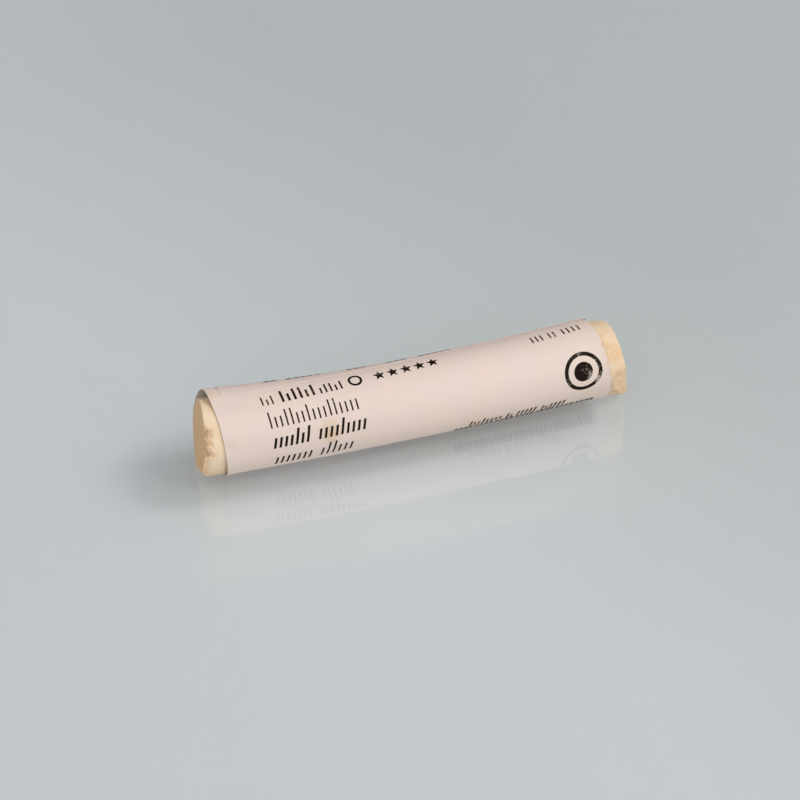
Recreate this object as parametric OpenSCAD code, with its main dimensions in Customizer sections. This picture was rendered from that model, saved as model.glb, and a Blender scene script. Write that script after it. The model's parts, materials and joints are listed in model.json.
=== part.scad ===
// Soft pastel stick in its wound paper label, lying on its side.
// The stick runs along X, +Z is up, and the origin is on the table under its middle.
// Angles round the stick are measured up from the front (-Y) side, so 90 is the top.
// The label is one rectangular sheet, wound slightly askew. A place on the sheet is a pair:
// turn, its winding angle in degrees (0 at the front, growing downwards), and along, in mm
// across the sheet's width from its middle.

/* [Stick] */
// Diameter of the pastel stick
stick_d = 11.8; // [9:0.1:16]
// Length of the stick between its furthest points
stick_len = 68.2; // [66:0.1:90]
// Sideways bend, as the bow of the middle towards the front
stick_bow = 1.1; // [0.3:0.1:3]
// Length of the right tip, which bends back towards the front
tip_len = 7.2; // [2:0.1:12]
// Bend radius of the right tip's centre line
tip_r = 19; // [16:1:60]
// Lean of the left end face away from square, seen from the front
left_lean = 5; // [0:1:10]
// Swing of the left end face away from square, seen from above
left_swing = 4; // [0:1:8]
// Lean of the right end face away from square, its top back
right_lean = 6; // [0:1:10]
// Width of the worn chamfer round the right end
right_wear = 0.4; // [0.1:0.1:0.8]
// How far the breaks in the ends' rims reach along the stick
chip_back = 1; // [0.4:0.1:1.6]
// How far the breaks in the ends' rims reach towards the axis
chip_in = 0.5; // [0.2:0.1:1]

/* [Paper label] */
// Width of the sheet, along the stick
label_w = 60.5; // [56:0.5:61]
// Thickness of the paper
paper_t = 0.08; // [0.05:0.01:0.2]
// Looseness of the paper round the stick, at its middle
label_gap = 0.08; // [0.08:0.01:0.4]
// Extra radius where the paper stands off the stick at its left edge
flare_left = 0.55; // [0:0.05:0.8]
// Extra radius where the paper stands off the stick at its right edge
flare_right = 0.15; // [0:0.05:0.8]
// Share of its stand-off that the loose left edge gives up where it leans back on the stick
left_hug = 0.95; // [0:0.05:0.95]
// Angle round the stick at the middle of that lean
hug_angle = 40; // [20:1:50]
// Angle at which the sheet is wound askew
wrap_skew = 3.2; // [0:0.1:4]
// How far the left edge bulges past square at the sheet's inner end
inner_bulge = 1.4; // [0:0.1:2]
// How far the left edge bulges past square at the sheet's outer, free end
outer_bulge = 0.7; // [0:0.1:2]
// How far the right edge stops short of square at the sheet's outer end
outer_trim = 1; // [0:0.1:2]
// Angle round the stick of the sheet's free edge, at the middle
seam_angle = 112; // [80:1:125]
// Angle over which the sheet overlaps itself
overlap_angle = 110; // [60:1:150]
// Paste film between the two layers of the overlap
paste_gap = 0.02; // [0.01:0.01:0.1]
// Width of the strip that the stick's weight presses flat on the table
foot_w = 1.6; // [1:0.1:2]
// Clearance between the stick and the paper that it lies on
seat_gap = 0.02; // [0.01:0.01:0.05]

/* [Print] */
// Thickness of a printed mark
ink_t = 0.05; // [0.03:0.01:0.1]
// Clearance of the marks over the paper
ink_gap = 0.04; // [0.04:0.01:0.06]
// Margin from the label's left edge to the rows that start there
left_margin = 7.2; // [4:0.1:8]
// Margin from the label's right edge to the rows that end there
right_margin = 1.9; // [1.2:0.1:4]
// Height of a long stroke in the tall rows
tall_h = 2.6; // [1.6:0.1:2.6]
// Height of a long stroke in the small rows
small_h = 1.4; // [0.8:0.1:1.4]
// Unit that the rows are set out in along the sheet
em = 1.9; // [1.6:0.1:2]
// Slant of the strokes in the slanted rows, from upright
row_slant = 14; // [0:1:20]
// Diameter of a star, from its middle to a point and back
star_d = 2; // [1.2:0.1:2.1]
// Outer diameter of the small ring beside the stars
small_ring_d = 2.2; // [1.2:0.1:2.4]
// Outer diameter of the large ring
ring_d = 6.1; // [4:0.1:7]

/* [Hidden] */

stick_r = stick_d / 2;
// The stick's centre line is an arc that bows by stick_bow over its length
bend_r = stick_len * stick_len / (8 * stick_bow) + stick_bow / 2;
end_turn = asin(stick_len / 2 / bend_r);
stick_z = paper_t + seat_gap + stick_r;

// Inner radius of the paper at its tightest, and the radius used for lengths round the sheet
snug_r = stick_r + label_gap;
wrap_r = snug_r + paper_t;
deg_per_mm = 180 / PI / wrap_r;
turn_end = 360 - seam_angle;
turn_start = -seam_angle - overlap_angle;
// The outer layer climbs over the inner end of the sheet within this many degrees
climb = 15;
// Steps of the sheet's mesh, round it and across it, where they get shorter towards the edges
turn_steps = 68;
along_steps = 24;
// Longest step of a mark's mesh round the sheet, in degrees
mark_step = 10;

// The bow, flare and overlap would leave the box's middle behind the axis: this centres it
label_bow = bend_r * (1 - cos(label_w / 2 / bend_r * 180 / PI));
axis_y = -(label_bow + flare_left + paper_t + paste_gap) / 2;

// The right tip starts here and bends the other way, which moves its middle this far forward
tip_start = stick_len / 2 - tip_len;
function tip_shift(s) = let (past = max(0, s - tip_start)) past * past / (2 * tip_r);

// A point beside the bent centre line: s along it, out towards the front, z above the table
function beside(s, out, z) =
    let (t = s / bend_r * 180 / PI, reach = bend_r + out)
    [reach * sin(t), axis_y + bend_r - reach * cos(t) - tip_shift(s), z];

function smooth(x) = let (t = min(1, max(0, x))) t * t * (3 - 2 * t);

// Distance along the stick, and angle up from the front, of a place on the sheet
function sheet_s(turn, along) = along * cos(wrap_skew) + turn / deg_per_mm * sin(wrap_skew);
function sheet_angle(turn, along) = along * sin(wrap_skew) * deg_per_mm - turn * cos(wrap_skew);

// Extra radius of the sheet at s, and the height of its middle, which rests on the table
function flare(s) = (s < 0 ? flare_left : flare_right) * pow(2 * s / label_w, 2);
function centre_z(s) =
    let (rest_r = snug_r + flare(s) + paper_t)
    sqrt(rest_r * rest_r - foot_w * foot_w / 4);

// How far the left half leans back on the stick, which fades out over hug_fade degrees
hug_reach = 85;
hug_fade = 55;
function hug(s, a) =
    let (
        away = acos(cos(a - hug_angle)),
        stand_off = flare(s) + (centre_z(s) - stick_z) * sin(a)
    )
    s < 0 ? left_hug * stand_off * smooth((hug_reach - away) / hug_fade) : 0;

// How far the overlap lifts the outer layer
function overlap_rise(turn) =
    (paper_t + paste_gap) * smooth((turn - turn_start - 360 + climb) / climb);

// How far the sheet's side edges are moved from square: the left one out, the right one in
function edge_shift(turn, along) =
    let (
        inner_share = pow(min(0, turn) / turn_start, 2),
        outer_share = pow(max(0, turn) / turn_end, 2),
        left = inner_bulge * inner_share + outer_bulge * outer_share
    )
    left * smooth(-2 * along / label_w) + outer_trim * outer_share * smooth(2 * along / label_w);

// A point of the sheet, at the given height over its inner face
function sheet_point(turn, along, height) =
    let (
        s = sheet_s(turn, along) - edge_shift(turn, along),
        a = sheet_angle(turn, along),
        r = snug_r + flare(s) - hug(s, a) + overlap_rise(turn) + height
    )
    beside(s, r * cos(a), max(centre_z(s) + r * sin(a), paper_t - height));

// A closed film that follows the sheet between two heights. Its triangles and its rims' loops
// list places by number, clockwise when seen from outside.
module film(places, triangles, loops, low, high) {
    n = len(places);
    top = [for (t = triangles) [t[0] + n, t[1] + n, t[2] + n]];
    under = [for (t = triangles) [t[2], t[1], t[0]]];
    walls = [
        for (loop = loops, k = [0:len(loop) - 1], half = [0, 1])
        let (a = loop[k], b = loop[(k + 1) % len(loop)])
        half == 0 ? [b + n, a + n, a] : [b + n, a, b]
    ];
    polyhedron(
        points = [for (height = [low, high], p = places) sheet_point(p[0], p[1], height)],
        faces = concat(top, under, walls),
        convexity = 10
    );
}

// Triangles and rim of a grid of places, listed row by row
function grid_triangles(rows, cols) = [
    for (i = [0:rows - 1], j = [0:cols - 1], half = [0, 1])
    let (a = i * (cols + 1) + j, c = a + cols + 2)
    half == 0 ? [a, a + 1, c] : [a, c, c - 1]
];
function grid_rim(rows, cols) = concat(
    [for (j = [0:cols - 1]) j],
    [for (i = [0:rows - 1]) i * (cols + 1) + cols],
    [for (j = [cols:-1:1]) rows * (cols + 1) + j],
    [for (i = [rows:-1:1]) i * (cols + 1)]
);

// Triangles between one closed loop of n places, from number first, and the loop outside it
function band_triangles(n, first) = [
    for (k = [0:n - 1], half = [0, 1])
    let (a = first + k, b = first + (k + 1) % n)
    half == 0 ? [a, a + n, b + n] : [a, b + n, b]
];

// ---- The stick ----

// Carries its children from the X axis to the bent centre line, s along it
module at_stick(s) {
    translate(beside(s, 0, stick_z))
        rotate([0, 0, s / bend_r * 180 / PI])
            children();
}

// A round rod along an arc, from an angle onwards, about the point it bends round
module bent_rod(radius, from, sweep, rod_d) {
    rotate([0, 0, from])
        rotate_extrude(angle = sweep, $fn = 256)
            translate([radius, 0])
                circle(d = rod_d, $fn = 64);
}

// A flat break across the rim of a right-hand end, centred at an angle round it
module chip(angle) {
    rotate([180 - angle, 0, 0])
        linear_extrude(height = stick_d, center = true)
            polygon([
                [chip_back, stick_r - 2 * chip_in],
                [-2 * chip_back, stick_r + chip_in],
                [chip_back, stick_r + chip_in]
            ]);
}

// The ring-shaped cut that wears the right rim to a chamfer
module worn_rim() {
    spare = stick_r / 2;
    rotate([0, 90, 0])
        rotate_extrude($fn = 64)
            polygon([
                [stick_r - right_wear, 0],
                [stick_r + spare, -right_wear - spare],
                [stick_r + spare, spare],
                [stick_r - right_wear, spare]
            ]);
}

module pastel_stick() {
    // The left face is set back, so that only its lowest front point has the full length
    left_back = stick_r * norm([tan(left_lean), tan(left_swing + end_turn)]);
    left_s = left_back - stick_len / 2;
    // Each rod runs past its end by this much before it is cut
    spare = stick_r / 2;
    left_turn = end_turn + spare / bend_r * 180 / PI;
    tip_turn = tip_start / bend_r * 180 / PI;
    tip_sweep = (tip_len + spare) / tip_r * 180 / PI;
    // The tip starts inside the long rod and is this much thinner, under the label
    tip_lap = 0.5 / tip_r * 180 / PI;
    tip_thin = 0.08;
    color("#e5cfae")
    difference() {
        union() {
            translate([0, axis_y + bend_r, stick_z])
                bent_rod(bend_r, -90 - left_turn, left_turn + tip_turn, stick_d);
            at_stick(tip_start)
                translate([0, -tip_r, 0])
                    bent_rod(tip_r, 90 - tip_sweep, tip_sweep + tip_lap, stick_d - tip_thin);
        }
        at_stick(left_s)
            rotate([0, left_lean, -left_swing])
                translate([-2 * stick_d, -stick_d, -stick_d])
                    cube(2 * stick_d);
        at_stick(left_s)
            for (angle = [22, -36])
                mirror([1, 0, 0]) chip(angle);
        // The right face leans back from its lowest point, which has the full length
        translate(beside(stick_len / 2, 0, stick_z - stick_r))
            rotate([0, -right_lean, 0]) {
                translate([0, -2 * stick_d, -stick_d])
                    cube(4 * stick_d);
                translate([0, 0, stick_r]) {
                    chip(-8);
                    worn_rim();
                }
            }
    }
}

// ---- The label ----

module paper_label() {
    places = [
        for (i = [0:turn_steps], j = [0:along_steps])
        [
            turn_start + (turn_end - turn_start) * i / turn_steps,
            label_w / 2 * sin(90 * (2 * j / along_steps - 1))
        ]
    ];
    color("#e0ccc1")
        film(
            places,
            grid_triangles(turn_steps, along_steps),
            [grid_rim(turn_steps, along_steps)],
            0,
            paper_t
        );
}

// ---- The print: plain strokes, stars, a dot and two rings ----

left_edge = left_margin - label_w / 2;
right_edge = label_w / 2 - right_margin;

// A mark's film, from places given as along the row and up from a turn
module mark(turn, points, triangles, loops) {
    film(
        [for (p = points) [turn - p[1] * deg_per_mm, p[0]]],
        triangles,
        loops,
        paper_t + ink_gap,
        paper_t + ink_gap + ink_t
    );
}

// A stroke that stands on a row, its top moved along the row by its slant
module stroke(along, turn, width, height, slant) {
    steps = ceil(height * deg_per_mm / mark_step);
    points = [
        for (i = [0:steps], side = [0, 1])
        let (up = height * (1 - i / steps))
        [along + side * width + up * tan(slant), up]
    ];
    mark(turn, points, grid_triangles(steps, 1), [grid_rim(steps, 1)]);
}

// A word of strokes: long where its rhythm has 1, and short where it has 0
module word(along, turn, pitch, width, height, slant, rhythm) {
    short = 0.65;
    for (k = [0:len(rhythm) - 1])
        stroke(along + k * pitch, turn, width, rhythm[k] == 1 ? height : short * height, slant);
}

// A filled mark inside a closed outline round its middle
module filled_mark(along, turn, outline) {
    n = len(outline);
    points = concat(
        [[along, 0]],
        [for (share = [0.5, 1], p = outline) [along + p[0] * share, p[1] * share]]
    );
    fan = [for (k = [0:n - 1]) [0, 1 + k, 1 + (k + 1) % n]];
    mark(turn, points, concat(fan, band_triangles(n, 1)), [[for (k = [0:n - 1]) n + 1 + k]]);
}

// A circle's or a star's outline, clockwise from its top: radii are taken in turn
function outline(radii, n) = [
    for (k = [0:n - 1])
    radii[k % len(radii)] * [sin(k * 360 / n), cos(k * 360 / n)]
];

module ring_mark(along, turn, d, line) {
    n = 24;
    points = [for (r = [d / 2 - line, d / 2], p = outline([r], n)) [along + p[0], p[1]]];
    loops = [[for (k = [n - 1:-1:0]) k], [for (k = [0:n - 1]) n + k]];
    mark(turn, points, band_triangles(n, 0), loops);
}

// Turns of the rows' lower edges, the top row first
code_turn = -80;
light_turn = -44;
bold_turn = -13;
slim_turn = 20;
side_turn = -73;
foot_turn = 39;
last_turn = 53.5;
back_turn = 230;

module left_rows() {
    // A thin, a heavy and a thin word, then a small ring and five stars on the same row
    code_h = 0.85 * tall_h;
    thin_h = 0.65 * tall_h;
    word(left_edge, code_turn, 0.4 * em, 0.12 * em, thin_h, 0, [1, 0, 1]);
    word(left_edge + 1.6 * em, code_turn, 0.5 * em, 0.2 * em, code_h, 0, [1, 0, 1, 1, 0, 1]);
    word(left_edge + 4.75 * em, code_turn, 0.42 * em, 0.15 * em, thin_h, 0, [0, 1, 1, 0, 1]);
    ring_mark(left_edge + 7.75 * em, code_turn - 10, small_ring_d, 0.17 * small_ring_d);
    star_radii = [star_d / 2, star_d / 2 * 0.43];
    star_pitch = 1.14 * em;
    for (k = [0:4])
        filled_mark(left_edge + 9.75 * em + star_pitch * k, code_turn - 9, outline(star_radii, 10));
    // A row in thin strokes, one in bold slanted strokes and one in slim slanted strokes
    thin_rhythm = [1, 0, 0, 1, 1, 0, 0, 1, 0, 0, 0, 1, 1, 0, 0, 0, 0];
    word(left_edge + 0.1 * em, light_turn, 0.44 * em, 0.13 * em, tall_h, 0, thin_rhythm);
    word(left_edge, bold_turn, 0.44 * em, 0.21 * em, tall_h, row_slant, [0, 0, 0, 0, 1, 0, 1]);
    bold_rhythm = [0, 0, 0, 0, 1, 0, 0, 0, 0];
    word(left_edge + 3.65 * em, bold_turn, 0.45 * em, 0.2 * em, tall_h, row_slant, bold_rhythm);
    word(left_edge, slim_turn, 0.45 * em, 0.17 * em, tall_h, row_slant, [0, 0, 0, 0, 0, 0, 0]);
    word(left_edge + 3.7 * em, slim_turn, 0.47 * em, 0.16 * em, tall_h, row_slant, [0, 1, 1, 0, 0, 0]);
}

module right_rows() {
    side_start = right_edge - 4.3 * em;
    word(side_start, side_turn, 0.42 * em, 0.13 * em, small_h, 0, [1, 1, 1]);
    word(side_start + 1.55 * em, side_turn, 0.42 * em, 0.13 * em, small_h, 0, [1, 1]);
    word(side_start + 2.75 * em, side_turn, 0.46 * em, 0.13 * em, small_h, 0, [1, 1, 1, 1]);
    ring_along = right_edge - 0.36 * ring_d;
    ring_turn = -9;
    ring_mark(ring_along, ring_turn, ring_d, 0.1 * ring_d);
    filled_mark(ring_along, ring_turn, outline([ring_d / 4], 20));
    // The two lowest rows: each word is set a little lower than the one before it
    foot_start = right_edge - 11 * em;
    foot_words = [
        [0, [1, 0, 0, 1, 0, 0, 0, 0]],
        [3.1, [1, 0]],
        [4, [1, 1, 1, 1, 1]],
        [6.1, [1, 0, 1, 1, 1, 1]]
    ];
    for (w = foot_words)
        word(foot_start + w[0] * em, foot_turn + w[0], 0.36 * em, 0.17 * em, small_h, row_slant, w[1]);
    last_start = right_edge - 12.1 * em;
    last_pitch = 1.73 * em;
    strokes = [1, 1, 1, 1];
    for (k = [0:6])
        word(last_start + last_pitch * k, last_turn + 1.5 * k, 0.41 * em, 0.3 * em, small_h, 0, strokes);
}

// The row on the back, of which only the lower edge shows from the front
module back_row() {
    words = [
        [0, [1, 1]],
        [1.8, [1, 0, 1, 1, 0]],
        [6.7, [1, 1, 0]],
        [10, [1, 1, 1]],
        [12.7, [0, 1, 1, 1, 1]]
    ];
    for (w = words)
        word(left_edge + w[0] * em, back_turn + w[0], 0.58 * em, 0.44 * em, tall_h, 0, w[1]);
}

module label_print() {
    color("#40312a") {
        left_rows();
        right_rows();
        back_row();
    }
}

pastel_stick();
paper_label();
label_print();
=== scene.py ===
import json
import math

import bpy
import numpy as np
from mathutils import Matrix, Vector, noise


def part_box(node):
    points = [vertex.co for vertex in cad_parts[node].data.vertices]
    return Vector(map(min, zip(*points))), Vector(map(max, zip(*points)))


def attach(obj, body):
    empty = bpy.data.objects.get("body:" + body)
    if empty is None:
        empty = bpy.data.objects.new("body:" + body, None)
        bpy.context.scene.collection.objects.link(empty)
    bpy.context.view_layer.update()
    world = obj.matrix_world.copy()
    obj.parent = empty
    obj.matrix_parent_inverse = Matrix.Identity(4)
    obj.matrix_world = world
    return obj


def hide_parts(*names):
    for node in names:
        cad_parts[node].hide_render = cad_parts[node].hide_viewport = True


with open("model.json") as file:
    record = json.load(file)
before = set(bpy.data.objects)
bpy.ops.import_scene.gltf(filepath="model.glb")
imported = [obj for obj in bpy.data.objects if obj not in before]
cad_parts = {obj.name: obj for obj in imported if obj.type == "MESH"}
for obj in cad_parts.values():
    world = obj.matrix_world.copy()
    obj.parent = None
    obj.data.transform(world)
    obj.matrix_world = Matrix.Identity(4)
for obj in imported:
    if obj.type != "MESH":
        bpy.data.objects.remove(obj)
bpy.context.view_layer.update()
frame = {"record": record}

# ---- Pastel stick ----
# One round stick of chalk and ochre pigment, rolled with a little gum and dried slightly bent.
# It is solid all through. Its left face broke off askew, and both rims have crumbled in use.

MM = 0.001
stick_low, stick_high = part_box("pastel_stick")
STICK_LENGTH = 68.2 * MM
STICK_RADIUS = (stick_high.z - stick_low.z) / 2
STICK_Z = (stick_high.z + stick_low.z) / 2
AXIS_Y = frame["record"]["mounts"][0]["pos_m"][1]
# The centre line bows to the front in a shallow arc, but its right tip turns forward
BOW = 1.1 * MM
BEND_RADIUS = STICK_LENGTH**2 / (8 * BOW) + BOW / 2
TIP_LENGTH = 7.2 * MM
TIP_START = STICK_LENGTH / 2 - TIP_LENGTH
TIP_RADIUS = 19 * MM
# The end faces, and how far along the centre line they lie
LEFT_LEAN = math.radians(5)
LEFT_SWING = math.radians(4)
RIGHT_LEAN = math.radians(6)
END_TURN = math.asin(STICK_LENGTH / 2 / BEND_RADIUS)
SET_BACK = STICK_RADIUS * math.hypot(math.tan(LEFT_LEAN), math.tan(LEFT_SWING + END_TURN))
LEFT_S = SET_BACK - STICK_LENGTH / 2
RIGHT_S = STICK_LENGTH / 2 - STICK_RADIUS * math.tan(RIGHT_LEAN)
LEFT_WEAR = 0.1 * MM
RIGHT_WEAR = 0.35 * MM
# Points round the stick, rows in each fine stretch and each end face, and rows between
STICK_AROUND = 300
FINE_ROWS = 60
COARSE_ROWS = 34
FINE_SHARE = 0.06


def beside(s, out, z):
    """Points beside the bent centre line: s along it, out towards the front, z above the table."""
    turn = s / BEND_RADIUS
    reach = BEND_RADIUS + out
    shift = np.maximum(0, s - TIP_START) ** 2 / (2 * TIP_RADIUS)
    return np.stack([reach * np.sin(turn), AXIS_Y + BEND_RADIUS - reach * np.cos(turn) - shift, z], -1)


def lumps(points, size, octaves=4):
    """Fractal lumps of one size at each point, from about -1 to 1."""
    flat = points.reshape(-1, 3) / size
    values = [noise.fractal(Vector(p), 0.9, 2.1, octaves) for p in flat.tolist()]
    return np.array(values).reshape(points.shape[:-1])


def smooth(x):
    """Rises gently from 0 to 1 as x does."""
    x = np.clip(x, 0, 1)
    return x * x * (3 - 2 * x)


def new_object(name, points, faces, material, marks=None):
    """A smooth object of one mesh, with any named shares painted at its points."""
    mesh = bpy.data.meshes.new(name)
    mesh.from_pydata(points.reshape(-1, 3).tolist(), [], faces)
    for mark, shares in (marks or {}).items():
        layer = mesh.attributes.new(mark, "FLOAT", "POINT")
        layer.data.foreach_set("value", np.asarray(shares, dtype=np.float32).ravel())
    mesh.materials.append(material)
    mesh.shade_smooth()
    mesh.set_sharp_from_angle(angle=math.radians(40))
    made = bpy.data.objects.new(name, mesh)
    bpy.context.scene.collection.objects.link(made)
    return made


def linear(hex_colour):
    """An sRGB hex colour as linear RGBA."""
    parts = [int(hex_colour[i : i + 2], 16) / 255 for i in (1, 3, 5)]
    return [c / 12.92 if c <= 0.04045 else ((c + 0.055) / 1.055) ** 2.4 for c in parts] + [1]


def add_node(material, kind, settings=None, links=None):
    """Adds one node, sets its properties or input values, and links its inputs."""
    node = material.node_tree.nodes.new(kind)
    for name, value in (settings or {}).items():
        if isinstance(name, str) and hasattr(node, name):
            setattr(node, name, value)
        else:
            node.inputs[name].default_value = value
    for name, socket in (links or {}).items():
        material.node_tree.links.new(socket, node.inputs[name])
    return node


def new_material(name):
    """A material with no nodes yet."""
    material = bpy.data.materials.new(name)
    material.use_nodes = True
    material.node_tree.nodes.clear()
    return material


def pressed_chalk():
    """Pressed chalk and ochre pigment: dry powder, so it has no gloss and scatters evenly."""
    m = new_material("pressed_chalk_pigment")
    place = add_node(m, "ShaderNodeTexCoord").outputs["Object"]
    # Grit of 0.2 mm, drawn coarser than real pigment so that it shows
    grit = add_node(
        m,
        "ShaderNodeTexNoise",
        {"Scale": 1 / (0.22 * MM), "Detail": 5, "Roughness": 0.6},
        {"Vector": place},
    )
    # Paler and darker batches of the paste, 3 mm across
    cloud = add_node(
        m,
        "ShaderNodeTexNoise",
        {"Scale": 1 / (3 * MM), "Detail": 6, "Roughness": 0.6},
        {"Vector": place},
    )
    tone = add_node(m, "ShaderNodeValToRGB", links={"Fac": cloud.outputs["Fac"]})
    tone.color_ramp.elements[0].position = 0.36
    tone.color_ramp.elements[0].color = linear("#eed1ac")
    tone.color_ramp.elements[1].position = 0.56
    tone.color_ramp.elements[1].color = linear("#f4ddbf")
    speck = add_node(
        m,
        "ShaderNodeMapRange",
        {"From Min": 0.3, "From Max": 0.42, "To Min": 0.35, "To Max": 0.0},
        {"Value": grit.outputs["Fac"]},
    )
    specked = add_node(
        m,
        "ShaderNodeMixRGB",
        {"Color2": linear("#cfae83")},
        {"Fac": speck.outputs["Result"], "Color1": tone.outputs["Color"]},
    )
    # A fresh break is a stronger ochre than the rubbed, dusty side. On the shaded left face this ochre also
    # stands in for painted warm bounce light
    fresh_and_bounce_share = add_node(m, "ShaderNodeAttribute", {"attribute_name": "fresh_and_bounce"})
    ochre = add_node(
        m,
        "ShaderNodeMixRGB",
        {"Color2": linear("#ebc598")},
        {"Fac": fresh_and_bounce_share.outputs["Fac"], "Color1": specked.outputs["Color"]},
    )
    # Dark brown for dirt, and for painted shade in the hollows, pits and cracks, along a ridge and in the
    # label's shadow
    dirt_and_shade_share = add_node(m, "ShaderNodeAttribute", {"attribute_name": "dirt_and_shade"})
    dirt_and_shade_mix = add_node(
        m,
        "ShaderNodeMixRGB",
        {"Color2": linear("#8a5f38")},
        {"Fac": dirt_and_shade_share.outputs["Fac"], "Color1": ochre.outputs["Color"]},
    )
    bump = add_node(
        m,
        "ShaderNodeBump",
        {"Strength": 0.6, "Distance": 0.03 * MM},
        {"Height": grit.outputs["Fac"]},
    )
    surface = add_node(
        m,
        "ShaderNodeBsdfPrincipled",
        {"Roughness": 1.0, "IOR": 1.5, "Specular IOR Level": 0.1},
        {"Base Color": dirt_and_shade_mix.outputs["Color"], "Normal": bump.outputs["Normal"]},
    )
    add_node(m, "ShaderNodeOutputMaterial", links={"Surface": surface.outputs["BSDF"]})
    return m


# Each break is a flat: the angle that it faces, how far it reaches in from the end in mm, and its
# tilt. Angles go round the stick in degrees, with 0 in front and 90 on top.
LEFT_BREAKS = [
    (34, 0.9, 30),
    (12, 0.9, 26),
    (-14, 1.2, 20),
    (-40, 1.4, 24),
    (-58, 0.8, 55),
    (150, 0.5, 30),
]
RIGHT_BREAKS = [
    (-12, 2.2, 24),
    (-38, 0.5, 22),
    (-70, 0.3, 28),
    (44, 0.4, 30),
    (104, 0.4, 34),
    (200, 0.9, 25),
]
# Each pit: angle, distance in from the end (the left end when negative), width and depth, in mm
PITS = [
    (47, -0.05, 0.25, 0.4),
    (42, -0.1, 0.22, 0.4),
    (37, -0.2, 0.18, 0.3),
    (14, -0.1, 0.25, 0.4),
    (9, -0.2, 0.22, 0.3),
    (2, -1.1, 0.14, 0.12),
    (-30, -1.6, 0.12, 0.1),
    (-46, -1.9, 0.14, 0.12),
    (60, 2.6, 0.12, 0.1),
    (46, 1.2, 0.13, 0.1),
    (42, 1.6, 0.14, 0.12),
    (34, 2.9, 0.15, 0.12),
    (18, 2.9, 0.14, 0.12),
]


def turned_from(angle, degrees):
    """The turn round the stick from an angle given in degrees, from -pi to pi."""
    return (angle - math.radians(degrees) + math.pi) % (2 * math.pi) - math.pi


def break_radius(wound, angle, inward):
    """How far out the flat of a break lies, at each angle and distance in from its end."""
    facing, reach, tilt = wound
    across = np.maximum(np.cos(angle - math.radians(facing)), 0.05)
    return (STICK_RADIUS + (inward - reach * MM) * math.tan(math.radians(tilt))) / across


def patch(angle, middle, half, reach):
    """1 round a middle angle, falling to 0 at a reach that is given in half widths of the patch."""
    return smooth(reach - np.abs(turned_from(angle, middle)) / math.radians(half))


def swell(off, width):
    """A rounded bump, 1 at its middle and nearly gone at twice its width."""
    return np.exp(-((off / width) ** 2))


angle = np.linspace(0, 2 * math.pi, STICK_AROUND, endpoint=False)
# The front of the left rim has crumbled, deepest in two cracks
crumbled = patch(angle, 24, 24, 1.5)
cracks = swell(turned_from(angle, 45), math.radians(6)) + swell(turned_from(angle, 10), math.radians(5))
rim_grit = lumps(np.stack([np.cos(angle), np.sin(angle), 0 * angle], -1), 0.12, 3)
# Both end faces lean. The left one also swings, and the right one is square to the line between the
# stick's ends.
left_slope = np.sin(angle) * math.tan(LEFT_LEAN) - np.cos(angle) * math.tan(LEFT_SWING)
right_slope = np.sin(angle) * math.tan(RIGHT_LEAN) + np.cos(angle) * math.tan(END_TURN)
left_plane = LEFT_S + STICK_RADIUS * left_slope
right_plane = RIGHT_S - STICK_RADIUS * right_slope
left_rim = left_plane + (crumbled * (0.1 + 0.2 * rim_grit) + 0.3 * cracks + 0.02 * rim_grit) * MM
right_rim = right_plane + 0.05 * MM * rim_grit
# Rows of points from end to end, close together near both ends
near_end = np.linspace(0, FINE_SHARE, FINE_ROWS)
between = np.linspace(FINE_SHARE, 1 - FINE_SHARE, COARSE_ROWS)[1:-1]
share = np.concatenate([near_end, between, 1 - near_end[::-1]])[:, None]
s = left_rim + (right_rim - left_rim) * share
around = np.broadcast_to(angle, s.shape)
from_left = s - left_rim
from_right = right_rim - s
shell = beside(s, STICK_RADIUS * np.cos(around), STICK_Z + STICK_RADIUS * np.sin(around))
# A break is rough in lumps of 0.8 mm and in grains of 0.28 mm
rough = lumps(shell, 0.8 * MM)
grains = lumps(shell + 0.05, 0.28 * MM, 3)
# The side has shallow hollows 3 mm across where it was rolled
radius = np.full(s.shape, STICK_RADIUS) - 0.02 * MM * smooth(lumps(shell, 3 * MM))
whole = radius.copy()
# Each break is cut to its flat
for breaks, inward in ((LEFT_BREAKS, from_left), (RIGHT_BREAKS, from_right)):
    for wound in breaks:
        flat_radius = break_radius(wound, around, inward)
        radius = np.minimum(radius, flat_radius + (0.09 * rough + 0.07 * grains) * MM)
# The crumbled stretch is eaten away up to about 1.6 mm in from the left rim
crumble = crumbled * smooth(1.5 - from_left / (1.1 * MM))
radius = radius - crumble * np.maximum(0, 0.1 + 0.25 * rough + 0.3 * grains) * MM
# Both rims are rounded by handling
for inward, wear in ((from_left, LEFT_WEAR), (from_right, RIGHT_WEAR)):
    worn = np.clip(1 - inward / wear, 0, 1)
    radius = np.minimum(radius, STICK_RADIUS - wear * (1 - np.sqrt(1 - worn**2)) + 0.03 * MM * grains)
# Fresh pigment shows wherever some has gone
fresh_and_bounce = 0.5 * smooth((whole - radius) / (0.2 * MM))
# The upper front of the right tip is rubbed down to the stronger ochre
rubbed_tip = patch(around, 46, 14, 1.5) * smooth(1.6 - from_right / (2.6 * MM))
fresh_and_bounce = np.maximum(fresh_and_bounce, 0.6 * rubbed_tip * smooth(0.7 + 1.2 * rough))
# Painted shade darkens the hollows of the crumbled stretch, and a line along its broken rim
dirt_and_shade = 0.16 * crumble * smooth(0.2 - rough - grains)
rim_line_shade = 0.55 * crumbled * swell(from_left, 0.4 * MM)
dirt_and_shade = np.maximum(dirt_and_shade, rim_line_shade * smooth(0.6 + 1.5 * rough))
# Pits have ragged outlines, and painted shade darkens them
for at, inward, width, depth in PITS:
    way = from_left + inward * MM if inward < 0 else from_right - inward * MM
    off = np.hypot(way, turned_from(around, at) * STICK_RADIUS) / (width * MM)
    dip = np.exp(-2.5 * (off * (1 + 0.4 * grains)) ** 2)
    radius = radius - depth * MM * dip
    dirt_and_shade = np.maximum(dirt_and_shade, 0.5 * dip)
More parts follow.
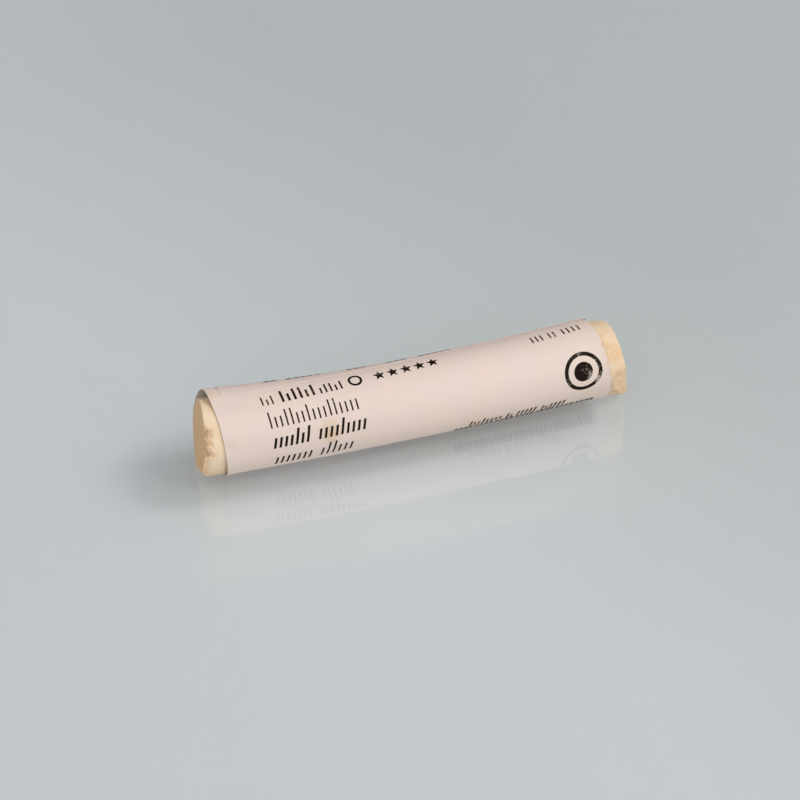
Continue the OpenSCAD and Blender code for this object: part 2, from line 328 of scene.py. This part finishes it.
# The end faces are planes, and only their outermost 15% follows the broken rims
rings = np.linspace(0.02, 1, FINE_ROWS, endpoint=False)[:, None]
near_rim = smooth((rings - 0.85) / 0.15)
ends = ((LEFT_S, left_plane, left_rim, radius[0]), (RIGHT_S, right_plane, right_rim, radius[-1]))
flats = []
for centre, flat, rim, r in ends:
    along = centre + (flat - centre) * rings + (rim - flat) * near_rim
    flats.append(beside(along, r * rings * np.cos(angle), STICK_Z + r * rings * np.sin(angle)))
left_flat, right_flat = flats
body = beside(s, radius * np.cos(around), STICK_Z + radius * np.sin(around))
# Both faces are rough, which fades out towards the rims
fade = smooth((1 - rings) / 0.1)
left_waves = lumps(left_flat, 1.2 * MM)
left_grit = lumps(left_flat, 0.35 * MM, 3)
left_flat[..., 0] += fade * (0.06 * left_waves + 0.04 * left_grit + 0.04) * MM
right_flat[..., 0] -= fade * (0.06 * lumps(right_flat, 1.2 * MM) + 0.05) * MM
# The left face is pitted low down
low = patch(angle, -28, 30, 1.6) * smooth(3 * rings - 1.2)
pitting = smooth(2.5 * (lumps(left_flat, 0.4 * MM, 3) - 0.12)) * low
left_flat[..., 0] += 0.18 * MM * pitting
# Its pits are darkened with painted shade
face_pit_shade = 0.5 * pitting
# The right tip is darker low down, and painted shade lies along the edge of its largest break
blotch_lumps = lumps(shell, 0.6 * MM, 3)
low_right = patch(around, -42, 14, 1.6) * swell(from_right - 2 * MM, 1.5 * MM)
past_break = break_radius(RIGHT_BREAKS[0], around, from_right) - STICK_RADIUS
ridge = swell(past_break - 0.1 * MM, 0.25 * MM) * patch(around, -8, 24, 1.6)
dirt_and_shade = np.maximum(dirt_and_shade, (0.35 * low_right + 0.22 * ridge) * smooth(0.6 + 1.5 * blotch_lumps))
# A brown band of painted shadow, cast by the label's left edge, lies on the stick low down in front
LABEL_SHADOW_START = -30.8 * MM
edge_band = patch(around, -34, 28, 1.4) * smooth((s - LABEL_SHADOW_START) / (0.6 * MM))
dirt_and_shade = np.maximum(dirt_and_shade, np.where(s < 0, 0.5 * edge_band, 0))
# The shares at the stick's points: dark brown for dirt and painted shade, and the fresh ochre, which the
# shaded left face takes nearly in full as painted warm bounce light
stick_points = np.concatenate([left_flat, body, right_flat[::-1]])
stick_dirt_and_shade = np.concatenate([face_pit_shade, dirt_and_shade, np.zeros(right_flat.shape[:2])])
stick_fresh_and_bounce = np.concatenate([np.full(left_flat.shape[:2], 0.9), fresh_and_bounce, np.full(right_flat.shape[:2], 0.6)])
stick_rows = len(stick_points)
stick_faces = [
    [i * STICK_AROUND + j, i * STICK_AROUND + k, (i + 1) * STICK_AROUND + k, (i + 1) * STICK_AROUND + j]
    for i in range(stick_rows - 1)
    for j, k in ((n, (n + 1) % STICK_AROUND) for n in range(STICK_AROUND))
]
stick_faces.append(list(range(STICK_AROUND))[::-1])
stick_faces.append([(stick_rows - 1) * STICK_AROUND + j for j in range(STICK_AROUND)])
stick_marks = {"dirt_and_shade": stick_dirt_and_shade, "fresh_and_bounce": stick_fresh_and_bounce}
stick = new_object("pastel_stick_body", stick_points, stick_faces, pressed_chalk(), stick_marks)
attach(stick, "root")
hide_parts("pastel_stick")

# ---- Paper label ----
# A rectangle of thin uncoated paper, wound round the stick a little askew and pasted on itself
# where it overlaps. It stands off the stick at its edges and is pressed flat underneath.

LABEL_WIDTH = 60.5 * MM
PAPER = 0.08 * MM
LABEL_GAP = 0.08 * MM
SNUG_RADIUS = STICK_RADIUS + LABEL_GAP
WRAP_RADIUS = SNUG_RADIUS + PAPER
SKEW = math.radians(3.2)
# The free edge lies past the top, and the sheet runs on beneath it
SEAM_ANGLE = 112
OVERLAP_ANGLE = 110
TURN_END = math.radians(360 - SEAM_ANGLE)
TURN_START = TURN_END - math.radians(360 + OVERLAP_ANGLE)
PASTE = 0.02 * MM
CLIMB = math.radians(15)
# The edges stand off the stick, but the left half leans on its upper front
FLARE_LEFT = 0.55 * MM
FLARE_RIGHT = 0.15 * MM
LEFT_HUG = 0.95
HUG_ANGLE = math.radians(40)
HUG_REACH = math.radians(85)
HUG_FADE = math.radians(55)
# The sheet's corners aren't square: two bulge to the left, and one is trimmed at the right
INNER_BULGE = 1.4 * MM
OUTER_BULGE = 0.7 * MM
OUTER_TRIM = 1.0 * MM
# The flat underneath, the soft waves in the paper, and the crimps near its edges
FOOT = 1.6 * MM
RIPPLE = 0.05 * MM
RIPPLE_LENGTH = 9 * MM
CRIMP = 0.05 * MM
CRIMPED_EDGE = 4 * MM


def ripple(s, angle):
    """Soft waves and crimped edges, always outward and the same for every layer."""
    at = np.stack([s / RIPPLE_LENGTH, 1.6 * np.cos(angle), 1.6 * np.sin(angle)], -1)
    waves = 0.5 + 0.5 * np.clip(lumps(at, 1.0, 3), -1, 1)
    edge = smooth((np.abs(s) - LABEL_WIDTH / 2 + CRIMPED_EDGE) / CRIMPED_EDGE)
    crimp = 0.5 + 0.5 * np.sin(angle * 5 + s / (3 * MM)) * np.sin(angle * 3 + 1)
    return RIPPLE * waves + CRIMP * edge * crimp


def sheet_point(turn, along, height):
    """A place on the sheet, height over its inner face: turn is its winding angle."""
    s = along * math.cos(SKEW) + turn * WRAP_RADIUS * math.sin(SKEW)
    inner_share = np.minimum(0, turn / -TURN_START) ** 2
    outer_share = np.maximum(0, turn / TURN_END) ** 2
    left = smooth(-2 * along / LABEL_WIDTH)
    right = smooth(2 * along / LABEL_WIDTH)
    bulge = (INNER_BULGE * inner_share + OUTER_BULGE * outer_share) * left
    s = s - bulge - OUTER_TRIM * outer_share * right
    angle = along * math.sin(SKEW) / WRAP_RADIUS - turn * math.cos(SKEW)
    flare = np.where(s < 0, FLARE_LEFT, FLARE_RIGHT) * (2 * s / LABEL_WIDTH) ** 2
    # The winding is set at the height that presses a flat as wide as the foot into its underside
    centre_z = np.sqrt((SNUG_RADIUS + flare + PAPER) ** 2 - FOOT**2 / 4)
    # The outer layer climbs over the sheet's own start
    rise = (PAPER + PASTE) * smooth((turn - TURN_START - 2 * math.pi + CLIMB) / CLIMB)
    # The left half leans back on the upper front of the stick, and lies smooth there
    away = np.arccos(np.cos(angle - HUG_ANGLE))
    held = np.where(s < 0, 1, 0) * smooth((HUG_REACH - away) / HUG_FADE)
    hug = LEFT_HUG * held * (flare + (centre_z - STICK_Z) * np.sin(angle))
    pressed = 1 - held * smooth(-2 * s / LABEL_WIDTH)
    r = SNUG_RADIUS + flare - hug + rise + pressed * ripple(s, angle) + height
    return beside(s, r * np.cos(angle), np.maximum(centre_z + r * np.sin(angle), PAPER - height))


def label_paper():
    """Thin uncoated label paper: matt, faintly warm, with soft fibre clouds and a few old stains."""
    m = new_material("uncoated_label_paper")
    place = add_node(m, "ShaderNodeTexCoord").outputs["Object"]
    cloud = add_node(m, "ShaderNodeTexNoise", {"Scale": 1 / (6 * MM), "Detail": 5}, {"Vector": place})
    tone = add_node(m, "ShaderNodeValToRGB", links={"Fac": cloud.outputs["Fac"]})
    tone.color_ramp.elements[0].position = 0.32
    tone.color_ramp.elements[0].color = linear("#e9d6cf")
    tone.color_ramp.elements[1].position = 0.7
    tone.color_ramp.elements[1].color = linear("#ebd8c9")
    # Fibres 0.3 mm long, drawn wider than real ones so that they show
    fibre = add_node(
        m,
        "ShaderNodeTexNoise",
        {"Scale": 1 / (0.3 * MM), "Detail": 4, "Roughness": 0.65},
        {"Vector": place},
    )
    mottled = add_node(
        m,
        "ShaderNodeMapRange",
        {"From Min": 0.35, "From Max": 0.65, "To Min": 0.08, "To Max": 0.0},
        {"Value": fibre.outputs["Fac"]},
    )
    fibrous = add_node(
        m,
        "ShaderNodeMixRGB",
        {"Color2": linear("#c9b2a2")},
        {"Fac": mottled.outputs["Result"], "Color1": tone.outputs["Color"]},
    )
    stained = add_node(m, "ShaderNodeAttribute", {"attribute_name": "stain"})
    spotted = add_node(
        m,
        "ShaderNodeMixRGB",
        {"Color2": linear("#d6ba8c")},
        {"Fac": stained.outputs["Fac"], "Color1": fibrous.outputs["Color"]},
    )
    # The inner side has no warm tint
    inner = add_node(m, "ShaderNodeAttribute", {"attribute_name": "inner"})
    plain = add_node(
        m,
        "ShaderNodeMixRGB",
        {"Color2": linear("#e2ddd6")},
        {"Fac": inner.outputs["Fac"], "Color1": spotted.outputs["Color"]},
    )
    bump = add_node(
        m,
        "ShaderNodeBump",
        {"Strength": 0.25, "Distance": 0.02 * MM},
        {"Height": fibre.outputs["Fac"]},
    )
    surface = add_node(
        m,
        "ShaderNodeBsdfPrincipled",
        {"Roughness": 0.65, "IOR": 1.5, "Specular IOR Level": 0.3},
        {"Base Color": plain.outputs["Color"], "Normal": bump.outputs["Normal"]},
    )
    add_node(m, "ShaderNodeOutputMaterial", links={"Surface": surface.outputs["BSDF"]})
    return m


def film(turn, along, low, high):
    """A closed film over a grid of places on the sheet, between two heights: points and faces."""
    rows, cols = turn.shape
    n = rows * cols
    points = np.concatenate([sheet_point(turn, along, h).reshape(-1, 3) for h in (low, high)])
    faces = []
    for i in range(rows - 1):
        for j in range(cols - 1):
            a = i * cols + j
            faces.append([a + 1, a + cols + 1, a + cols, a])
            faces.append([a + n, a + n + cols, a + n + cols + 1, a + n + 1])
    rim = list(range(cols))
    rim += [i * cols + cols - 1 for i in range(1, rows)]
    rim += [(rows - 1) * cols + j for j in range(cols - 2, -1, -1)]
    rim += [i * cols for i in range(rows - 2, 0, -1)]
    for k, a in enumerate(rim):
        b = rim[(k + 1) % len(rim)]
        faces.append([a, a + n, b + n, b])
    return points, faces


# Each stain: its middle along the sheet in mm and round it in degrees, half its width along and
# round, and its strength. First come three old stains, then the pigment rubbed into the left edge,
# the dirt by the free edge's left corner, and four crumbs of pigment along the right edge.
STAINS = [
    (-14.2, -20, 1.8, 24, 0.55),
    (-29.0, -33, 1.6, 9, 0.22),
    (9, 30, 5, 10, 0.15),
    (-30.2, 42, 0.6, 7, 0.9),
    (-29.8, -118, 1.0, 8, 0.35),
    (30.2, -39, 0.4, 2.4, 0.8),
    (29.9, -27, 0.16, 1.6, 0.9),
    (30.2, -24, 0.5, 1.5, 0.7),
    (30.1, -13, 0.25, 2.2, 0.8),
]
# Places on the sheet: 300 round it, and 140 along it that close up towards both edges
across = LABEL_WIDTH / 2 * np.sin(np.linspace(-math.pi / 2, math.pi / 2, 140))
turn, along = np.meshgrid(np.linspace(TURN_START, TURN_END, 300), across, indexing="ij")
stain = np.zeros(turn.shape)
for middle, at, half, half_turn, strength in STAINS:
    off_along = (along - middle * MM) / (half * MM)
    off_round = (turn - math.radians(at)) / math.radians(half_turn)
    stain = np.maximum(stain, strength * smooth(1.2 - np.hypot(off_along, off_round)))
label_points, label_faces = film(turn, along, 0, PAPER)
inner_side = np.concatenate([np.ones(turn.size), np.zeros(turn.size)])
label_marks = {"stain": np.concatenate([stain, stain]), "inner": inner_side}
label = new_object("paper_label_sheet", label_points, label_faces, label_paper(), label_marks)
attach(label, "root")
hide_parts("paper_label")

# ---- Print ----
# One pass of dark brown ink, printed on the sheet before it was wound: rows of plain strokes, two
# rings, a dot and five stars. The large ring has worn and lets the paper show through in specks.

LEFT_MARGIN = 7.2 * MM
RIGHT_MARGIN = 1.9 * MM
LEFT_EDGE = LEFT_MARGIN - LABEL_WIDTH / 2
RIGHT_EDGE = LABEL_WIDTH / 2 - RIGHT_MARGIN
# The unit along the rows, two heights for strokes, and a short stroke's share of its row's height
EM = 1.9 * MM
TALL = 2.6 * MM
SMALL = 1.4 * MM
SHORT_SHARE = 0.65
SLANT = math.tan(math.radians(14))
STAR = 2.0 * MM
SMALL_RING = 2.2 * MM
RING = 6.1 * MM
# A disc is a ring round a hole too small to show
CENTRE_HOLE = 0.0001 * MM
# Where each row's baseline, or a ring's middle, lies round the sheet: its turn in degrees
TOP_ROW = -80
THIN_ROW = -44
BOLD_ROW = -13
SLIM_ROW = 20
SHORT_ROW = -73
RING_ROW = -9
LOW_ROW = 39
LAST_ROW = 53.5
BACK_ROW = 230
# The film of ink lies just over the sheet's outer face
INK_LOW = PAPER + 0.004 * MM
INK_HIGH = PAPER + 0.012 * MM
ink_points = []
ink_faces = []


def add_mark(along, up, row):
    """A film of ink over a grid: along the sheet, and up from a row's turn in degrees."""
    first = sum(len(p) for p in ink_points)
    points, faces = film(math.radians(row) - up / WRAP_RADIUS, along, INK_LOW, INK_HIGH)
    ink_points.append(points)
    ink_faces.extend([[first + v for v in face] for face in faces])


def add_word(along, row, pitch, width, height, slant, rhythm):
    """Strokes side by side: long where the rhythm has 1, and short where it has 0."""
    for k, tall in enumerate(rhythm):
        top = height * (1 if tall == 1 else SHORT_SHARE)
        up, side = np.meshgrid(np.linspace(top, 0, 7), np.linspace(0, width, 3), indexing="ij")
        add_mark(along + k * pitch + side + up * slant, up, row)


def add_round(along, row, inner, outer, points=48):
    """A disc or ring between two outlines, each given as radii taken in turn round it."""
    k = np.arange(points + 1)
    shares = np.linspace(0, 1, 4)[:, None]
    from_r = np.array(inner)[k % len(inner)]
    to_r = np.array(outer)[k % len(outer)]
    r = from_r + (to_r - from_r) * shares
    turned = 2 * math.pi * k / points
    add_mark(along + r * np.sin(turned), r * np.cos(turned) + 0 * shares, row)


def printed_ink():
    """Matt printing ink on rough paper: dark brown, broken by specks of the paper under it."""
    m = new_material("worn_brown_printing_ink")
    place = add_node(m, "ShaderNodeTexCoord").outputs["Object"]
    # Specks of 0.2 mm where the ink missed the paper's hollows, in worn areas 2.5 mm across
    speck = add_node(
        m,
        "ShaderNodeTexNoise",
        {"Scale": 1 / (0.2 * MM), "Detail": 3, "Roughness": 0.6},
        {"Vector": place},
    )
    wear = add_node(m, "ShaderNodeTexNoise", {"Scale": 1 / (2.5 * MM), "Detail": 2}, {"Vector": place})
    both = add_node(
        m,
        "ShaderNodeMath",
        {"operation": "ADD"},
        {0: speck.outputs["Fac"], 1: wear.outputs["Fac"]},
    )
    # Most of them are near the right edge, where the label has been rubbed
    spot = add_node(m, "ShaderNodeSeparateXYZ", links={"Vector": place})
    edge_band = add_node(
        m,
        "ShaderNodeMapRange",
        {"From Min": 20 * MM, "From Max": 24 * MM, "To Min": 0.0, "To Max": 0.12},
        {"Value": spot.outputs["X"]},
    )
    total = add_node(
        m,
        "ShaderNodeMath",
        {"operation": "ADD"},
        {0: both.outputs["Value"], 1: edge_band.outputs["Result"]},
    )
    bare = add_node(
        m,
        "ShaderNodeMapRange",
        {"From Min": 1.22, "From Max": 1.34, "To Min": 0.0, "To Max": 0.75},
        {"Value": total.outputs["Value"]},
    )
    tone = add_node(
        m,
        "ShaderNodeMixRGB",
        {"Color1": linear("#1c1009"), "Color2": linear("#d9c6b8")},
        {"Fac": bare.outputs["Result"]},
    )
    surface = add_node(
        m,
        "ShaderNodeBsdfPrincipled",
        {"Roughness": 0.6, "IOR": 1.5, "Specular IOR Level": 0.12},
        {"Base Color": tone.outputs["Color"]},
    )
    add_node(m, "ShaderNodeOutputMaterial", links={"Surface": surface.outputs["BSDF"]})
    return m


# The row of thin and heavy words, with the small ring and the stars
add_word(LEFT_EDGE, TOP_ROW, 0.4 * EM, 0.12 * EM, 0.65 * TALL, 0, [1, 0, 1])
add_word(LEFT_EDGE + 1.6 * EM, TOP_ROW, 0.5 * EM, 0.2 * EM, 0.85 * TALL, 0, [1, 0, 1, 1, 0, 1])
add_word(LEFT_EDGE + 4.75 * EM, TOP_ROW, 0.42 * EM, 0.15 * EM, 0.65 * TALL, 0, [0, 1, 1, 0, 1])
add_round(LEFT_EDGE + 7.75 * EM, TOP_ROW - 10, [SMALL_RING * 0.33], [SMALL_RING / 2], 64)
for k in range(5):
    star_points = [STAR / 2, STAR / 2 * 0.43]
    add_round(LEFT_EDGE + (9.75 + 1.14 * k) * EM, TOP_ROW - 9, [CENTRE_HOLE], star_points, 10)
# The thin row, the bold slanted row and the slim slanted row
THIN_WORD = [1, 0, 0, 1, 1, 0, 0, 1, 0, 0, 0, 1, 1, 0, 0, 0, 0]
add_word(LEFT_EDGE + 0.1 * EM, THIN_ROW, 0.44 * EM, 0.13 * EM, TALL, 0, THIN_WORD)
add_word(LEFT_EDGE, BOLD_ROW, 0.44 * EM, 0.21 * EM, TALL, SLANT, [0, 0, 0, 0, 1, 0, 1])
add_word(LEFT_EDGE + 3.65 * EM, BOLD_ROW, 0.45 * EM, 0.2 * EM, TALL, SLANT, [0, 0, 0, 0, 1, 0, 0, 0, 0])
add_word(LEFT_EDGE, SLIM_ROW, 0.45 * EM, 0.17 * EM, TALL, SLANT, [0] * 7)
add_word(LEFT_EDGE + 3.7 * EM, SLIM_ROW, 0.47 * EM, 0.16 * EM, TALL, SLANT, [0, 1, 1, 0, 0, 0])
# The short row and the large ring at the right
for start, pitch, count in ((4.3, 0.42, 3), (2.75, 0.42, 2), (1.55, 0.46, 4)):
    add_word(RIGHT_EDGE - start * EM, SHORT_ROW, pitch * EM, 0.13 * EM, SMALL, 0, [1] * count)
RING_ALONG = RIGHT_EDGE - 0.36 * RING
add_round(RING_ALONG, RING_ROW, [RING * 0.4], [RING / 2], 96)
add_round(RING_ALONG, RING_ROW, [CENTRE_HOLE], [RING / 4])
# The two lowest rows, and the one on the back: each word is set a little lower than the last
LOW_WORDS = ((0, [1, 0, 0, 1, 0, 0, 0, 0]), (3.1, [1, 0]), (4, [1] * 5), (6.1, [1, 0, 1, 1, 1, 1]))
for start, rhythm in LOW_WORDS:
    add_word(RIGHT_EDGE + (start - 11) * EM, LOW_ROW + start, 0.36 * EM, 0.17 * EM, SMALL, SLANT, rhythm)
for k in range(7):
    add_word(RIGHT_EDGE + (1.73 * k - 12.1) * EM, LAST_ROW + 1.5 * k, 0.41 * EM, 0.3 * EM, SMALL, 0, [1] * 4)
BACK_WORDS = ((0, [1, 1]), (1.8, [1, 0, 1, 1, 0]), (6.7, [1, 1, 0]), (10, [1, 1, 1]), (12.7, [0, 1, 1, 1, 1]))
for start, rhythm in BACK_WORDS:
    add_word(LEFT_EDGE + start * EM, BACK_ROW + start, 0.58 * EM, 0.44 * EM, TALL, 0, rhythm)
ink = new_object("label_print_marks", np.concatenate(ink_points), ink_faces, printed_ink())
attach(ink, "root")
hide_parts("label_print")

# ---- Table, light and camera ----
# A pale board under a sheet of glass. The board takes most of the shadow, and the glass, which is
# faintly hazy, takes the rest where the stick touches it. Both reflect a little.

GLASS_THICKNESS = 4.6 * MM
WARM_SHINE = linear("#fff3e2")


def level_plane(name, z, material):
    """A square part of the table top, 6 m wide so that its edges stay out of view."""
    half = 3.0
    corners = np.array([[-half, -half, z], [half, -half, z], [half, half, z], [-half, half, z]])
    plane = new_object(name, corners, [[0, 1, 2, 3]], material)


def lacquered_board():
    """Pale grey board under clear lacquer: smooth enough to mirror what stands over it."""
    m = new_material("glossy_pale_board")
    place = add_node(m, "ShaderNodeTexCoord").outputs["Object"]
    split = add_node(m, "ShaderNodeSeparateXYZ", links={"Vector": place})
    # Painted light: the board's colour is paler towards the front and the left, where the light on the table
    # is stronger
    painted_front_light = add_node(
        m,
        "ShaderNodeMapRange",
        {"From Min": 120 * MM, "From Max": -60 * MM},
        {"Value": split.outputs["Y"]},
    )
    left = add_node(
        m,
        "ShaderNodeMapRange",
        {"From Min": -60 * MM, "From Max": 60 * MM, "To Min": 0.8, "To Max": -0.5},
        {"Value": split.outputs["X"]},
    )
    both = add_node(
        m,
        "ShaderNodeMath",
        {"operation": "ADD"},
        {0: painted_front_light.outputs["Result"], 1: left.outputs["Result"]},
    )
    painted_light_tone = add_node(
        m,
        "ShaderNodeMixRGB",
        {"Color1": linear("#d0d9dc"), "Color2": linear("#e8eff4")},
        {"Fac": both.outputs["Value"]},
    )
    surface = add_node(
        m,
        "ShaderNodeBsdfPrincipled",
        {"Roughness": 0.09, "IOR": 1.9, "Specular Tint": WARM_SHINE},
        {"Base Color": painted_light_tone.outputs["Color"]},
    )
    add_node(m, "ShaderNodeOutputMaterial", links={"Surface": surface.outputs["BSDF"]})
    return m


def hazy_glass():
    """Sheet glass with a film of dust: nearly clear, so it keeps only a weak shadow and reflection."""
    m = new_material("hazy_glass_sheet")
    clear = add_node(m, "ShaderNodeBsdfTransparent")
    haze = add_node(m, "ShaderNodeBsdfDiffuse", {"Color": linear("#edf2f4")})
    shine = add_node(m, "ShaderNodeBsdfAnisotropic", {"Roughness": 0.08, "Color": WARM_SHINE})
    hazy = add_node(
        m,
        "ShaderNodeMixShader",
        {"Fac": 0.22},
        {1: clear.outputs["BSDF"], 2: haze.outputs["BSDF"]},
    )
    sheet = add_node(
        m,
        "ShaderNodeMixShader",
        {"Fac": 0.1},
        {1: hazy.outputs["Shader"], 2: shine.outputs["BSDF"]},
    )
    add_node(m, "ShaderNodeOutputMaterial", links={"Surface": sheet.outputs["Shader"]})
    return m


level_plane("board", -GLASS_THICKNESS, lacquered_board())
level_plane("glass", 0, hazy_glass())

# The room is brighter in front and above than behind, and a little brighter on the left
world = bpy.data.worlds.new("studio")
world.use_nodes = True
sky_place = add_node(world, "ShaderNodeTexCoord").outputs["Generated"]
way = add_node(world, "ShaderNodeSeparateXYZ", links={"Vector": sky_place})
ahead = add_node(
    world,
    "ShaderNodeMapRange",
    {"From Min": 0.8, "From Max": -1, "To Min": 0.09, "To Max": 1.07},
    {"Value": way.outputs["Y"]},
)
aside = add_node(
    world,
    "ShaderNodeMapRange",
    {"From Min": -1, "From Max": 1, "To Min": 0.08, "To Max": -0.08},
    {"Value": way.outputs["X"]},
)
above = add_node(
    world,
    "ShaderNodeMapRange",
    {"From Min": 0, "From Max": 1, "To Min": 0.0, "To Max": 0.12},
    {"Value": way.outputs["Z"]},
)
level = add_node(
    world,
    "ShaderNodeMath",
    {"operation": "ADD"},
    {0: ahead.outputs["Result"], 1: aside.outputs["Result"]},
)
glow = add_node(
    world,
    "ShaderNodeMath",
    {"operation": "ADD"},
    {0: level.outputs["Value"], 1: above.outputs["Result"]},
)
background = world.node_tree.nodes["Background"]
background.inputs["Color"].default_value = linear("#f7f8fa")
world.node_tree.links.new(glow.outputs["Value"], background.inputs["Strength"])
bpy.context.scene.world = world
bpy.context.scene.view_settings.view_transform = "Standard"

# One soft lamp, in front on the right and high up
lamp = bpy.data.lights.new("key", "AREA")
lamp.size = 0.45
lamp.energy = 7.4
lamp.color = linear("#fffbf5")[:3]
key = bpy.data.objects.new("key", lamp)
key.location = (0.8, -0.42, 1.1)
key.rotation_mode = "QUATERNION"
key.rotation_quaternion = key.location.to_track_quat("Z", "Y")
bpy.context.scene.collection.objects.link(key)

# A long lens half a metre away, turned so that the stick's left end comes nearer
AZIMUTH = math.radians(18.65)
ELEVATION = math.radians(38.36)
DISTANCE = 522.7 * MM
AIM_UP = 4.14 * MM
AIM_LEFT = 1.28 * MM
# Both in mm, as Blender's camera wants them
SENSOR_WIDTH = 36
FOCAL_LENGTH = 152.8875
right = Vector((math.cos(AZIMUTH), -math.sin(AZIMUTH), 0))
level_share = math.cos(ELEVATION)
back = Vector((-math.sin(AZIMUTH) * level_share, -math.cos(AZIMUTH) * level_share, math.sin(ELEVATION)))
up = back.cross(right)
aim = up * AIM_UP - right * AIM_LEFT
camera = bpy.data.cameras.new("camera")
camera.sensor_width = SENSOR_WIDTH
camera.lens = FOCAL_LENGTH
camera.clip_start = 0.01
camera_object = bpy.data.objects.new("camera", camera)
camera_object.location = back * DISTANCE
camera_object.rotation_mode = "QUATERNION"
camera_object.rotation_quaternion = (back * DISTANCE - aim).to_track_quat("Z", "Y")
bpy.context.scene.collection.objects.link(camera_object)
bpy.context.scene.camera = camera_object
